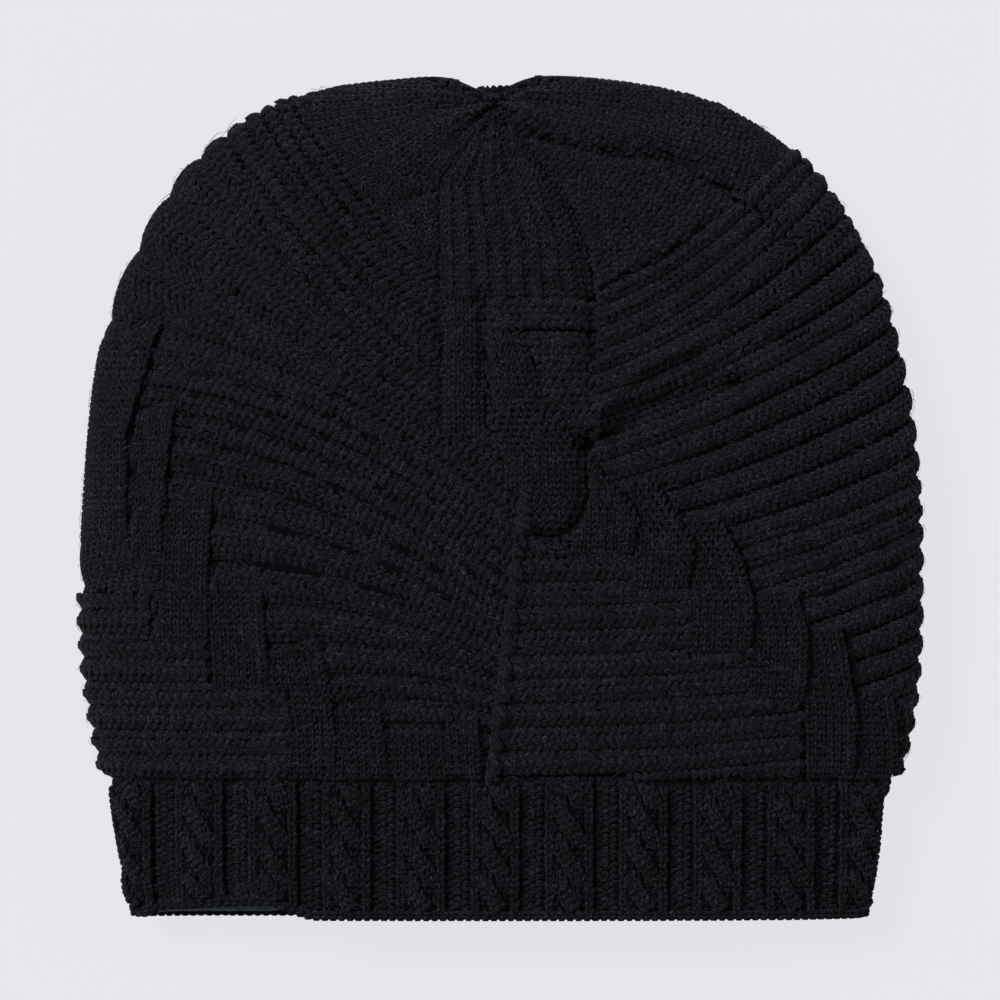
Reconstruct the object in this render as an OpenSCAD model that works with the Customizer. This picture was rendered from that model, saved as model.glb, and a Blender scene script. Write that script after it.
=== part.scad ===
// Knit beanie lying flat on its back wall: a slouchy knitted body, a cabled brim and a lining band.
// +X runs across the hat, +Y runs from the hem to the crown and +Z points up from the table.
// Every fabric piece is a closed loop of rings: a ring is one slice of the lying hat at one distance
// from the hem, drawn at a given inset below the outer face.

/* [Outline] */
// Length of the hat from hem to crown
hat_length = 250; // [225:1:300]
// Greatest width of the hat
hat_width = 249; // [240:1:300]
// Height of the lying hat at its fullest
hat_rise = 40; // [34:1:50]
// Distance from the hem to the widest row
widest_row = 94; // [75:1:115]
// Squareness of the crown outline, where 2 is an ellipse
crown_square = 2.8; // [2.2:0.1:3.4]
// Depth of the dip in the crown outline at the gather
dip_depth = 6; // [0:0.5:9]
// Reach of that dip to each side
dip_reach = 14; // [9:1:24]

/* [Brim] */
// Height of the brim, with its bound-off edge and linking course
brim_height = 42; // [34:1:60]
// Width of the hat at the hem
hem_width = 219; // [190:1:238]
// Width of the hat where the brim meets the body
brim_top_width = 237; // [200:1:239]
// Height of the lying hat at the hem
hem_rise = 27; // [25:1:33]
// Height of the bound-off edge
edge_height = 3; // [2:0.5:5]
// Height of the linking course between brim and body
link_height = 2.4; // [1.6:0.1:4]
// Depth that the linking course lies below the faces beside it
link_recess = 1.2; // [0.5:0.1:2]

/* [Knitting] */
// Thickness of the knitted wall
knit_wall = 4.6; // [3.4:0.1:5.6]
// Width of the sewn join inside the body
seam_width = 5; // [3:0.5:8]
// Depth of that join's ridge
seam_depth = 2; // [1:0.1:3]

/* [Crown] */
// Radius of the hole that the last stitches are drawn up around
gather_r = 5; // [4:0.5:8]
// Height of the gather above the table
gather_z = 10; // [9.5:0.5:14]
// Diameter of the draw yarn
draw_yarn_d = 2.2; // [1.4:0.1:3]

/* [Lining] */
// Thickness of the fleece lining
lining_wall = 1.8; // [1:0.1:2.4]
// Distance from the hem to the lower edge of the lining
lining_start = 4.2; // [3.5:0.1:8]
// Distance from the hem to the upper edge of the lining
lining_end = 37; // [26:0.5:39]
// Diameter of the sewing thread's raised line
thread_d = 1.1; // [0.8:0.1:1.4]
// Distance of each thread line from the edge of the lining
thread_margin = 2.4; // [1.5:0.1:3]
// Clearance between neighbouring soft pieces
soft_gap = 0.3; // [0.2:0.05:0.4]

/* [Care label] */
// Width of the blank label
label_width = 20; // [12:1:26]
// Length of the blank label
label_length = 18; // [12:1:19]
// Thickness of the folded label
label_depth = 0.6; // [0.4:0.1:1]
// Distance of the label from the lining's join
label_from_join = 3; // [2.5:0.5:8]
// Length of each bar tack
tack_length = 4.4; // [3:0.1:5]
// Width of each bar tack
tack_width = 1.2; // [0.8:0.1:2]

/* [Hidden] */

// Divisions of every ring; nested rings share them, so their facets stay parallel
sides = 48;
// Steps of the body from the brim to its widest row, and on from there to the gather
foot_steps = 5;
crown_steps = 14;
brim_steps = 4;
lining_steps = 3;
thread_sides = 8;
plug_sides = 48;

// A slice is a superellipse with this power, and its side folds lie at this share of its height
slice_power = 2.6;
fold_share = 0.42;
// Depth below the table at which the back wall's curve would bottom out; the table flattens it
table_sink = 3;
// The crown thins towards its edge faster than it narrows, and its back lifts off last
thin_power = 1.8;
lift_power = 0.5;
// The dip fades out quickly away from the crown's edge
dip_power = 12;
// The crown's slices turn from flattened to round towards the gather
round_power = 0.3;
// Crowding of the steps towards the gather
step_power = 1.5;

slice_e = 2 / slice_power;
crown_e = 2 / crown_square;
body_foot = brim_height;
brim_top = brim_height - link_height;
lining_inset = knit_wall + soft_gap;
thread_inset = lining_inset + lining_wall + soft_gap + thread_d / 2;
label_inset = lining_inset + lining_wall + soft_gap;
tack_inset = label_inset + label_depth + soft_gap;
label_x = label_from_join + label_width / 2;
label_end = lining_end - thread_margin - thread_d / 2 - soft_gap;
join_width = 3;
join_depth = 0.8;
edge_round = 0.7;
gather_dome = 1.6;
gather_tail = 1.2;

yarn_grey = [0.10, 0.10, 0.115];
shade_grey = [0.16, 0.16, 0.18];
fleece_grey = [0.42, 0.50, 0.52];
thread_grey = [0.22, 0.24, 0.26];
label_white = [0.86, 0.86, 0.84];

function mix(a, b, k) = a + (b - a) * k;
function ease(k) = k * k * (3 - 2 * k);
function signed_pow(v, p) = sign(v) * pow(abs(v), p);

// Outline below the widest row: half the width and the height of the lying hat at distance y
function low_half_width(y) =
    y < brim_height
    ? mix(hem_width, brim_top_width, y / brim_height) / 2
    : mix(hat_width, brim_top_width, pow((widest_row - y) / (widest_row - brim_height), 2)) / 2;
function low_rise(y) = mix(hem_rise, hat_rise, ease(y / widest_row));

// A slice is [y, half width, fold z, top z, bottom z, exponent, floor, dip strength]
function low_slice(y, inset) = [
    y, low_half_width(y) - inset, fold_share * low_rise(y),
    low_rise(y) - inset, inset - table_sink, slice_e, inset, 0
];
function crown_slice(turn, inset) =
    let (k = pow(cos(turn), crown_e), q = pow(sin(turn), crown_e))
    [
        widest_row + (hat_length - inset - widest_row) * q,
        mix(gather_r, hat_width / 2 - inset, k),
        mix(gather_z, fold_share * hat_rise, k),
        mix(gather_z + gather_r, hat_rise - inset, pow(k, thin_power)),
        mix(gather_z - gather_r, inset - table_sink, pow(k, lift_power)),
        mix(1, slice_e, pow(k, round_power)),
        inset * pow(k, lift_power),
        pow(q, dip_power)
    ];
function crown_turn(i) = 90 * (1 - pow(1 - i / crown_steps, step_power));

// How far the crown's edge is pulled in at distance x from the middle
function dip(x, strength) = dip_depth * exp(-pow(x / dip_reach, 2)) * strength;

// All points of a slice, and the height of its upper wall at distance x from the middle
function slice_point(s, turn) =
    let (
        x = s[1] * signed_pow(cos(turn), s[5]),
        lift = signed_pow(sin(turn), s[5]),
        z = lift > 0 ? mix(s[2], s[3], lift) : mix(s[2], s[4], -lift)
    )
    [x, s[0] - dip(x, s[7]), max(s[6], z)];
function ring(s) = [for (i = [0 : sides - 1]) slice_point(s, i * 360 / sides)];
function upper_wall(s, x) = mix(s[2], s[3], pow(1 - pow(abs(x) / s[1], 2 / s[5]), s[5] / 2));

// The body's slices at one inset, from its foot to the gather
function body_slices(inset) = concat(
    [for (i = [0 : foot_steps - 1]) low_slice(mix(body_foot, widest_row, i / foot_steps), inset)],
    [for (i = [0 : crown_steps]) crown_slice(crown_turn(i), inset)]
);
function reversed(list) = [for (i = [len(list) - 1 : -1 : 0]) list[i]];

body_rings = [
    for (s = concat(body_slices(0), reversed(body_slices(knit_wall)))) ring(s)
];
peak_y = max([for (r = body_rings) for (p = r) p[1]]);

// Skin over a closed loop of rings, each with the same number of points
module looped_skin(rings) {
    count = len(rings);
    around = len(rings[0]);
    points = [for (r = rings) for (p = r) p];
    faces = [
        for (i = [0 : count - 1]) for (j = [0 : around - 1])
            let (
                a = i * around + j,
                b = i * around + (j + 1) % around,
                c = ((i + 1) % count) * around + (j + 1) % around,
                d = ((i + 1) % count) * around + j
            )
            each [[a, b, c], [a, c, d]]
    ];
    polyhedron(points, faces);
}

// Skin over an open row of rings, closed by a fan at each end
module capped_skin(rings) {
    count = len(rings);
    around = len(rings[0]);
    last = (count - 1) * around;
    points = [for (r = rings) for (p = r) p];
    walls = [
        for (i = [0 : count - 2]) for (j = [0 : around - 1])
            let (
                a = i * around + j,
                b = i * around + (j + 1) % around,
                c = (i + 1) * around + (j + 1) % around,
                d = (i + 1) * around + j
            )
            each [[a, b, c], [a, c, d]]
    ];
    ends = [
        for (j = [1 : around - 2])
            each [[0, j + 1, j], [last, last + j, last + j + 1]]
    ];
    polyhedron(points, concat(walls, ends));
}

// The hat's frame has its origin under the middle of the lying hat
module laid() {
    translate([0, -peak_y / 2, 0]) children();
}

// A band of fabric between two distances from the hem and two insets
module band(y_from, y_to, outer, inner, steps) {
    run = [for (i = [0 : steps]) mix(y_from, y_to, i / steps)];
    outer_rings = [for (y = run) ring(low_slice(y, outer))];
    inner_rings = [for (y = reversed(run)) ring(low_slice(y, inner))];
    laid() looped_skin(concat(outer_rings, inner_rings));
}

// A line of sewing thread all round, at one distance from the hem
module thread_line(y, inset) {
    r = thread_d / 2;
    laid() looped_skin([
        for (i = [0 : thread_sides - 1])
            let (turn = i * 360 / thread_sides)
            ring(low_slice(y + r * sin(turn), inset - r * cos(turn)))
    ]);
}

// The section of a flat strip that hangs under the upper wall at one slice
function strip_section(s, left, right, depth) = [
    for (corner = [[right, depth], [right, 0], [left, 0], [left, depth]])
        [corner[0], s[0] - dip(corner[0], s[7]), upper_wall(s, corner[0]) - corner[1]]
];
module under_wall_strip(slices, x, width, depth) {
    laid() capped_skin([for (s = slices) strip_section(s, x - width / 2, x + width / 2, depth)]);
}
function low_run(y_from, y_to, inset, steps) =
    [for (i = [0 : steps]) low_slice(mix(y_from, y_to, i / steps), inset)];

// Body: one knitted wall from the linking course to the gather
module knit_body() {
    color(yarn_grey) laid() looped_skin(body_rings);
}

// Brim: one knitted wall in cables and ribs
module cable_brim() {
    color(shade_grey) band(edge_height, brim_top, 0, knit_wall, brim_steps);
}

// The recessed course where the body's stitches are linked to the brim
module linking_course() {
    color(yarn_grey) band(brim_top, body_foot, link_recess, knit_wall, 1);
}

// The rounded chain of stitches that closes the hem
module bind_off_edge() {
    corners = [
        [edge_height, edge_round], [edge_height, knit_wall],
        [edge_height / 2, knit_wall], [0, knit_wall - edge_round],
        [0, edge_round * 2], [edge_height / 2, 0]
    ];
    color(yarn_grey) laid() looped_skin([for (c = reversed(corners)) ring(low_slice(c[0], c[1]))]);
}

// The last stitches, drawn up into a pucker that plugs the crown's hole
module crown_gather() {
    r = gather_r - soft_gap;
    inner_y = hat_length - dip_depth - knit_wall - gather_tail;
    outer_y = hat_length - dip_depth;
    color(shade_grey) laid() translate([0, inner_y, gather_z]) rotate([-90, 0, 0])
        rotate_extrude($fn = plug_sides)
            polygon([
                [0, 0], [r / 2, 0], [r, gather_tail], [r, outer_y - inner_y],
                [r / 2, outer_y - inner_y + gather_dome / 2],
                [0, outer_y - inner_y - gather_dome / 2]
            ]);
}

// The yarn drawn round the gather, lying on the crown's edge
module crown_draw_yarn() {
    r = draw_yarn_d / 2;
    loop_r = gather_r + r;
    color(yarn_grey) laid() looped_skin([
        for (i = [0 : thread_sides - 1])
            let (turn = i * 360 / thread_sides, reach = loop_r + r * cos(turn))
            [
                for (j = [0 : sides - 1])
                    let (around = j * 360 / sides)
                    [
                        reach * cos(around),
                        hat_length - dip(loop_r * cos(around), 1) + r + soft_gap + r * sin(turn),
                        gather_z + reach * sin(around)
                    ]
            ]
    ]);
}

// The sewn join of the knitting, a ridge inside the upper wall
module back_seam() {
    inset = knit_wall + soft_gap;
    seam_steps = floor(crown_steps / 2);
    lower = [for (i = [0 : foot_steps - 1]) low_slice(mix(body_foot, widest_row, i / foot_steps), inset)];
    upper = [for (i = [0 : seam_steps]) crown_slice(crown_turn(i), inset)];
    color(shade_grey) under_wall_strip(concat(lower, upper), 0, seam_width, seam_depth);
}

// The fleece band inside the brim
module fleece_lining() {
    color(fleece_grey)
        band(lining_start, lining_end, lining_inset, lining_inset + lining_wall, lining_steps);
}

module lining_top_stitch() {
    color(thread_grey) thread_line(lining_end - thread_margin, thread_inset);
}

module lining_hem_stitch() {
    color(thread_grey) thread_line(lining_start + thread_margin, thread_inset);
}

// The join of the fleece band's two ends, between its two thread lines
module lining_join() {
    keep_off = thread_margin + thread_d / 2 + soft_gap;
    run = low_run(lining_start + keep_off, lining_end - keep_off, label_inset, lining_steps);
    color(thread_grey) under_wall_strip(run, 0, join_width, join_depth);
}

// A blank label beside the join
module care_label() {
    run = low_run(label_end - label_length, label_end, label_inset, 2);
    color(label_white) under_wall_strip(run, label_x, label_width, label_depth);
}

// Two bar tacks that hold the label's upper corners
module label_tacks() {
    tack_y = label_end - tack_width * 2;
    run = low_run(tack_y, tack_y + tack_width, tack_inset, 1);
    reach = (label_width - tack_length) / 2 - tack_width / 2;
    for (side = [-1, 1])
        color(thread_grey) under_wall_strip(run, label_x + side * reach, tack_length, label_depth);
}

knit_body();
cable_brim();
linking_course();
bind_off_edge();
crown_gather();
crown_draw_yarn();
back_seam();
fleece_lining();
lining_top_stitch();
lining_hem_stitch();
lining_join();
care_label();
label_tacks();
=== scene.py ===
import math

import bmesh
import bpy
import numpy as np
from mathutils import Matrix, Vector


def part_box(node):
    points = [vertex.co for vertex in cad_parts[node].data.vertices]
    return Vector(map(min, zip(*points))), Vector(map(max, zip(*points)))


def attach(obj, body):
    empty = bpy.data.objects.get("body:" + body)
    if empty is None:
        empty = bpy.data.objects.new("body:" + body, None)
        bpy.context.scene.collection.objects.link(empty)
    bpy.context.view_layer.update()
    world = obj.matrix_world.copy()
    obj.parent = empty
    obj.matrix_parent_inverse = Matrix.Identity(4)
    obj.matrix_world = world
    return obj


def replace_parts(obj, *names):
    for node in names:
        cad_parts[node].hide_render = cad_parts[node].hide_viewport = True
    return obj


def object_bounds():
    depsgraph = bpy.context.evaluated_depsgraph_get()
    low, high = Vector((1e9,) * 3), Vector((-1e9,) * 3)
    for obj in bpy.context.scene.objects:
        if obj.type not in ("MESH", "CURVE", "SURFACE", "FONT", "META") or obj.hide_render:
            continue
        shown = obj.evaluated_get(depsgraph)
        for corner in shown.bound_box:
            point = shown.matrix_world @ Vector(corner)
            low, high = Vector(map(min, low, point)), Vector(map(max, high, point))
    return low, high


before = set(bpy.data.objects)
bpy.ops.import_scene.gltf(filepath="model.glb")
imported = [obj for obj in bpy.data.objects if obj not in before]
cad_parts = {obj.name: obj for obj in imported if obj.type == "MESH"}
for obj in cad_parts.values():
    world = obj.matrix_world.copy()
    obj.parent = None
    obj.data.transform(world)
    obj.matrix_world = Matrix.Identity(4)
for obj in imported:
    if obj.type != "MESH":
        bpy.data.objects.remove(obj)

bl_info = {
    "name": "Knit Beanie",
    "version": (1, 0, 0),
    "blender": (4, 5, 0),
    "location": "3D View > Sidebar > Beanie",
    "description": "Makes a slouchy knitted beanie with a cable brim, stitch by stitch",
    "category": "Object",
}

PI = math.pi
MM = 0.001


def box_mm(node):
    """A node's lowest and highest corners in millimetres, with y counted from the hem."""
    low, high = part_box(node)
    shift = np.array([0.0, -HEM_Y, 0.0])
    return np.array(low) * 1000 + shift, np.array(high) * 1000 + shift


CAD_LOW, CAD_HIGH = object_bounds()
HEM_Y = CAD_LOW.y * 1000
WIDE = (CAD_HIGH.x - CAD_LOW.x) * 1000
RISE = CAD_HIGH.z * 1000
LINK_FOOT = box_mm("cable_brim")[1][1]
LINK_HEIGHT = 2.4
BRIM_TOP = round(LINK_FOOT + LINK_HEIGHT, 1)
HEM_START = 0.8
EDGE_TOP = box_mm("bind_off_edge")[1][1]


def metres(name, description, default):
    return bpy.props.FloatProperty(name=name, description=description, default=default, unit="LENGTH")


def colour(name, description, default):
    return bpy.props.FloatVectorProperty(name=name, description=description, default=default, subtype="COLOR")


class BeanieSizes(bpy.types.PropertyGroup):
    """The sizes of the hat and its stitches"""

    length: metres("Length", "Hem to crown, laid flat", 0.250)
    widest_row: metres("Widest row", "Height of the widest row above the hem", 0.094)
    hem_width: metres("Hem width", "Width of the hem, laid flat", 0.219)
    brim_width: metres("Brim width", "Width at the top of the brim", 0.237)
    hem_rise: metres("Hem rise", "Height of the hat at its hem", 0.027)
    wall: metres("Wall", "Thickness of the knitting", 0.0046)
    wale: metres("Wale gap", "Width of one column of stitches", 0.0023)
    course: metres("Course gap", "Height of one row of stitches", 0.0019)
    relief: bpy.props.FloatProperty(
        name="Relief", description="Strength of the folds, welts and blocks", default=1.0, subtype="FACTOR"
    )
    yarn: metres("Yarn radius", "Radius of the yarn", 0.00067)
    fibre: metres("Fibre radius", "Radius of a loose fibre", 0.00004)
    cable_gap: metres("Cable gap", "Distance between two cables of the brim", 0.0219)
    cable_turn: metres("Cable turn", "Length of one crossing of a cable", 0.0115)


class BeanieColours(bpy.types.PropertyGroup):
    """The colours of the yarn, lining, thread, label and floor"""

    yarn: colour("Yarn", "Main colour of the yarn", (0.0014, 0.0011, 0.0027))
    yarn_light: colour("Yarn, light fibres", "Colour of the lighter fibres", (0.0310, 0.0280, 0.0455))
    fleece: colour("Fleece", "Colour of the fleece lining", (0.115, 0.150, 0.160))
    thread: colour("Thread", "Colour of the sewing thread", (0.06, 0.06, 0.07))
    label: colour("Label", "Colour of the blank label", (0.78, 0.78, 0.75))
    floor: colour("Floor", "Colour of the floor", (0.807, 0.799, 0.845))


def sizes():
    return bpy.context.scene.beanie_sizes


def mm(key):
    """A size in millimetres."""
    return getattr(sizes(), key) * 1000


# -- the hat's envelope, in mm, y from the hem


def mix(a, b, k):
    return a + (b - a) * k


def ease(a, b, x):
    k = np.clip((x - a) / (b - a), 0, 1)
    return k * k * (3 - 2 * k)


def hump(x, width):
    """A bell of height 1 round x = 0."""
    return np.exp(-((x / width) ** 2))


def unit(v):
    return v / np.maximum(np.linalg.norm(v, axis=-1, keepdims=True), 1e-9)


def run_along(p):
    """Distance run along a line of points."""
    return np.concatenate([[0], np.cumsum(np.linalg.norm(np.diff(p, axis=0), axis=1))])


SQUARE = 2 / 2.6  # squareness of the lying tube's cross-section
CROWN_SQUARE = 2.8  # squareness of the crown's outline
FOLD_SHARE = 0.42  # how far up the side folds lie
HEM_WAVE = 4.9  # how far the upper hem lifts off the lining at the left
NOTCH_X, NOTCH_WIDTH, NOTCH_DEPTH = -3, 9, 5  # the dent in the outline at the gather
TURNS = 720  # steps of the tables round half the hat
SHARES = 200  # steps of the tables from the middle to a fold


def slice_rule(w, inset=0.0):
    """The cross-section of the hat at w: y, half width, fold height, top, bottom, squareness, floor and dip."""
    length, widest, hem_w, brim_w, hem_rise = map(mm, ("length", "widest_row", "hem_width", "brim_width", "hem_rise"))
    w = np.clip(np.asarray(w, float), 0, length)
    half = np.where(
        w < BRIM_TOP,
        mix(hem_w, brim_w, w / BRIM_TOP) / 2,
        mix(WIDE, brim_w, np.clip((widest - w) / (widest - BRIM_TOP), 0, 1) ** 2) / 2,
    ) - inset
    rise = mix(hem_rise, RISE, ease(0, widest, w))
    turn = np.clip((w - widest) / (length - widest), 0, 1) * PI / 2
    k = np.cos(turn).clip(0, 1) ** (2 / CROWN_SQUARE)
    q = np.sin(turn) ** (2 / CROWN_SQUARE)
    low = w <= widest
    return {
        "y": np.where(low, w, widest + (length - inset - widest) * q),
        "half": np.where(low, half, mix(5, WIDE / 2 - inset, k)),
        "fold": np.where(low, FOLD_SHARE * rise, mix(10, FOLD_SHARE * RISE, k)),
        "top": np.where(low, rise - inset, mix(15, RISE - inset, k**1.8)),
        "bottom": np.where(low, inset - 3, mix(5, inset - 3, k**0.5)),
        "e": np.where(low, SQUARE, mix(1, SQUARE, k**0.3)),
        "floor": np.where(low, inset, inset * k**0.5),
        "dip": np.where(low, 0, q**12),
    }


def ring(w, tau, inset=0.0):
    """A point of the envelope at w along the hat and tau round it: 0 the right fold, pi/2 the top, pi the left fold."""
    r = slice_rule(w, inset)
    c = np.cos(tau)
    lift = (1 - np.abs(c) ** (2 / r["e"])).clip(0, 1) ** (r["e"] / 2)
    lift = np.where(np.mod(tau, 2 * PI) <= PI, lift, -lift)
    x = r["half"] * c
    raised_hem = HEM_WAVE * ease(-112, -99, x) * (1 - ease(-70, -54, x)) * (1 - ease(0, 16, r["y"])) * lift.clip(0)
    z = np.where(lift > 0, mix(r["fold"], r["top"], lift), mix(r["fold"], r["bottom"], -lift))
    z = np.maximum(z, r["floor"])
    y = r["y"] - NOTCH_DEPTH * hump(x - NOTCH_X, NOTCH_WIDTH) * r["dip"] + raised_hem
    return np.stack(np.broadcast_arrays(x, y, z), -1), lift


def outward(w, tau):
    """The envelope's outward normal."""
    along = ring(w + 0.4, tau)[0] - ring(w - 0.4, tau)[0]
    round_ = ring(w, tau + 0.006)[0] - ring(w, tau - 0.006)[0]
    return unit(np.cross(along, round_))


class Skin:
    """Tables that turn a place on the fabric, a mm across and y mm up from the hem, into the envelope's w and tau."""

    def __init__(self):
        self.length, self.widest = mm("length"), mm("widest_row")
        self.rows = np.arange(0, int(self.length) + 1, dtype=float)
        self.tau = np.linspace(0, PI, TURNS + 1)
        grid_w, grid_t = np.meshgrid(self.rows, self.tau, indexing="ij")
        plan = ease(190, 215, slice_rule(self.rows)["y"])[:, None]
        self.across, self.arc_top = [], []
        self.from_a, self.from_s, self.reach_s = [], [], []
        share = np.linspace(-1, 1, 2 * SHARES + 1)
        for back in (False, True):
            p = ring(grid_w, 2 * PI - grid_t if back else grid_t)[0]
            step = np.linalg.norm(np.diff(p, axis=1), axis=2)
            total = np.concatenate([np.zeros((len(self.rows), 1)), np.cumsum(step, axis=1)], axis=1)
            arc = total[:, TURNS // 2, None] - total
            top = arc[:, :1]
            reach = top if not back else reach
            a = mix(arc * (reach / top), p[..., 0], plan)
            self.across.append(a)
            for tables, rows in ((self.from_a, a), (self.from_s, arc)):
                tables.append(np.array([np.interp(share, r[::-1] / r[0], self.tau[::-1]) for r in rows]))
            self.reach_s.append(top[:, 0])
        self.reach_a = self.across[0][:, 0]

    def w_of(self, y):
        q = ((y - self.widest) / (self.length - self.widest)).clip(0, 1)
        turn = np.arcsin(q ** (CROWN_SQUARE / 2))
        return np.where(y <= self.widest, y, self.widest + (self.length - self.widest) * turn / (PI / 2))

    @staticmethod
    def look(table, row, col):
        r = np.clip(row, 0, table.shape[0] - 1.001)
        c = np.clip(col, 0, table.shape[1] - 1.001)
        i, j = r.astype(int), c.astype(int)
        u, v = r - i, c - j
        return (
            table[i, j] * (1 - u) * (1 - v) + table[i + 1, j] * u * (1 - v)
            + table[i, j + 1] * (1 - u) * v + table[i + 1, j + 1] * u * v
        )

    def place(self, a, y, back):
        """w and tau of a place on the fabric, and whether it lies inside the folds."""
        w = self.w_of(y)
        share = a / np.interp(w, self.rows, self.reach_a)
        return w, self.turn(self.from_a, w, share, back), np.abs(share) <= 1

    def turn(self, tables, w, share, back):
        """tau at a share of the way from the middle to a fold."""
        tau = self.look(tables[back], w, (share + 1) * SHARES)
        return 2 * PI - tau if back else tau

    def a_of(self, w, tau):
        """How far across the fabric a point of the envelope lies."""
        back = np.mod(tau, 2 * PI) > PI
        t = np.where(back, 2 * PI - tau, tau)
        upper, under = (self.look(table, w, t / PI * TURNS) for table in self.across)
        return np.where(back, under, upper)

    def point(self, a, y, back, out):
        """The worked surface at a place: the envelope moved by the relief and by out."""
        w, tau, inside = self.place(a, y, back)
        return self.raised(w, tau, a, y, out), inside

    @staticmethod
    def raised(w, tau, a, y, out):
        p, lift = ring(w, tau)
        under = ease(0, 0.7, -lift)
        height = relief(a, y) * sizes().relief * (1 - ease(226, 244, w))
        fold = 1 - ease(0, 0.45, np.abs(lift))
        p = p + outward(w, tau) * (height * (1 - 0.5 * under) - 2.2 * under - 0.7 * fold + out)[..., None]
        p[..., 2] = np.maximum(p[..., 2], 0.25 + 0.6 * (out > -0.6))
        return p


# -- the layout of the knitting, in mm


BOW = 0.0006  # how far the middle welts bow upwards, in 1/mm
LEFT_STAIRS = (  # left, top, edge at the top, edge at the foot, foot of the edge, foot of the block
    (-160, 176, -100.3, -110.3, 143, 112),
    (-108, 152.5, -95.5, -99.4, 119, 108),
    (-99.4, 127.5, -84.2, -85.7, 101, 82.5),
    (-85.5, 103, -70, -68, 73.6, 67.6),
    (-69, 83, -52.5, -48.3, 56.7, 42),
    (-49, 66, -35.6, -33.2, 47, 42),
    (-33.5, 60.5, -6.5, -5.5, 43, 42),
)
RIGHT_LEAVES = (  # left, foot, right edge as (y, x) upwards
    (21, 107, ((107, 38.5), (109.7, 39.2), (121, 39.7), (136.1, 26.1))),
    (39.5, 97, ((97, 54.5), (101.1, 55.2), (112.4, 55.8), (129.6, 44.8))),
    (55.5, 78, ((78, 72.5), (80.4, 73.3), (94.6, 73.9), (106.8, 70.3), (118.9, 63.8))),
    (73.5, 64.7, ((64.7, 88.5), (67.9, 89.3), (85.1, 89.9), (96.4, 86.6))),
    (89.5, 42, ((42, 104.5), (63.2, 104.1), (86, 100.3))),
    (104, 42, ((42, 118), (46.9, 117.8), (66.1, 115.7))),
)
CREASES = (  # points, depth, width
    (((-17.4, 146), (-17.4, 217), (-10, 228), (-4, 237)), 1.8, 1.6),
    (((27.3, 183), (25, 200), (18, 217), (8, 228), (2, 236)), 2.2, 1.6),
    (((27.4, 183), (27, 166)), 2.4, 2.0),
    (((2, 182.6), (28, 182.6)), 0.6, 0.9),
    (((3, 173.4), (28, 173.4)), 1.5, 1.1),
    (((-4.7, 184), (-4.7, 160), (-3.6, 150)), 2.8, 2.8),
    (((6.8, 171.4), (13.3, 149), (14.5, 143)), 1.4, 1.1),
    (((24.6, 142), (25.6, 126), (22.6, 118), (16.5, 113.4), (11, 113.6)), 2.9, 1.6),
    (((24.5, 138.5), (31.1, 143.6), (46, 151.5), (60, 156.5), (70, 159)), 4.2, 2.6),
    (((-77, 225), (-63.5, 193)), 1.6, 1.3),
    (((-63, 219), (-41, 190)), 1.6, 1.3),
    (((-77, 185), (-57, 172)), 2.6, 1.6),
    (((-27, 213), (-16.6, 216)), 1.6, 1.2),
    (((30.4, 186.4), (48.6, 195.2), (59.4, 203.7)), 2.0, 1.3),
    (((5.9, 233.7), (13.3, 230.8), (29.7, 226.3), (50.4, 224.8), (65.3, 215.9), (80, 204), (84.5, 198)), 3.0, 1.6),
)
SWELLS = (  # points, height, width
    (((8, 239), (30, 233), (53, 231), (70, 221), (86, 207), (92, 198)), 2.2, 5.0),
    (((27, 148), (34, 156), (44, 164.5), (55, 169)), 3.4, 3.0),
    (((34, 190), (50, 201), (60, 209)), 1.2, 4.0),
    (((-40, 205), (-52, 222)), 1.2, 6.0),
)
GATHER = (-1.5, 245.0)
STRIP_LEFT = -17.4  # left edge of the smooth strip beside the panel
FAN_START = 186.4  # where the highest right-hand welt starts
FAN_GAP = 6.5  # distance between two fanned welts
WELT_GAP = 7.1  # distance between two level welts
RECESS = 4.5  # width of the hollow past a block's edge


def near_line(points, a, y):
    """Distance from a broken line."""
    best = np.full(np.shape(a), 1e9)
    for (x0, y0), (x1, y1) in zip(points, points[1:]):
        dx, dy = x1 - x0, y1 - y0
        k = (((a - x0) * dx + (y - y0) * dy) / (dx * dx + dy * dy)).clip(0, 1)
        best = np.minimum(best, np.hypot(a - x0 - k * dx, y - y0 - k * dy))
    return best


def left_slopes(v):
    return (
        0.05 + 0.65 * ease(55, 115, v) + 0.2 * ease(160, 200, v),
        -0.0035 + 0.0115 * ease(130, 172, v),
    )


def right_slopes(v):
    return (
        0.1 * ease(40, 97, v) + 0.23 * ease(97, 150, v),
        0.0018 + 0.0045 * ease(143, 178, v),
    )


def left_line(v, a):
    """The y of a left-hand course line that leaves the middle at v, and its slope."""
    d = -17.8 - a
    p, q = left_slopes(v)
    return v + p * d + q * d * d, -(p + 2 * q * d)


def right_line(v, a):
    d = a - 27
    p, q = right_slopes(v)
    return v + p * d + q * d * d, p + 2 * q * d


def level_line(v, a):
    return v + 0.0 * a, 0.0 * a


def bowed_line(v, a):
    return v + BOW * a * a, 2 * BOW * a


def start_of(line, a, y):
    """Which course line passes a place, found by halving."""
    low, high = np.full(np.shape(a), -120.0), np.full(np.shape(a), 330.0)
    for _ in range(26):
        mid = (low + high) / 2
        above = line(mid, a)[0] < y
        low, high = np.where(above, mid, low), np.where(above, high, mid)
    return (low + high) / 2


def join_x(y):
    """Where the sewn join runs."""
    return np.interp(y, (41, 127), (-3, 7.4))


def stair_top(s, a):
    """A block's rounded top edge."""
    right = s[2]
    return s[1] - 0.03 * np.minimum((right - a).clip(0), 13.0) ** 2


def stair_edge(s, y):
    return np.interp(y, (s[4], s[1]), (s[3], s[2]))


def leaf_edge(s, y):
    return np.interp(y, [p[0] for p in s[2]], [p[1] for p in s[2]])


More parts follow.
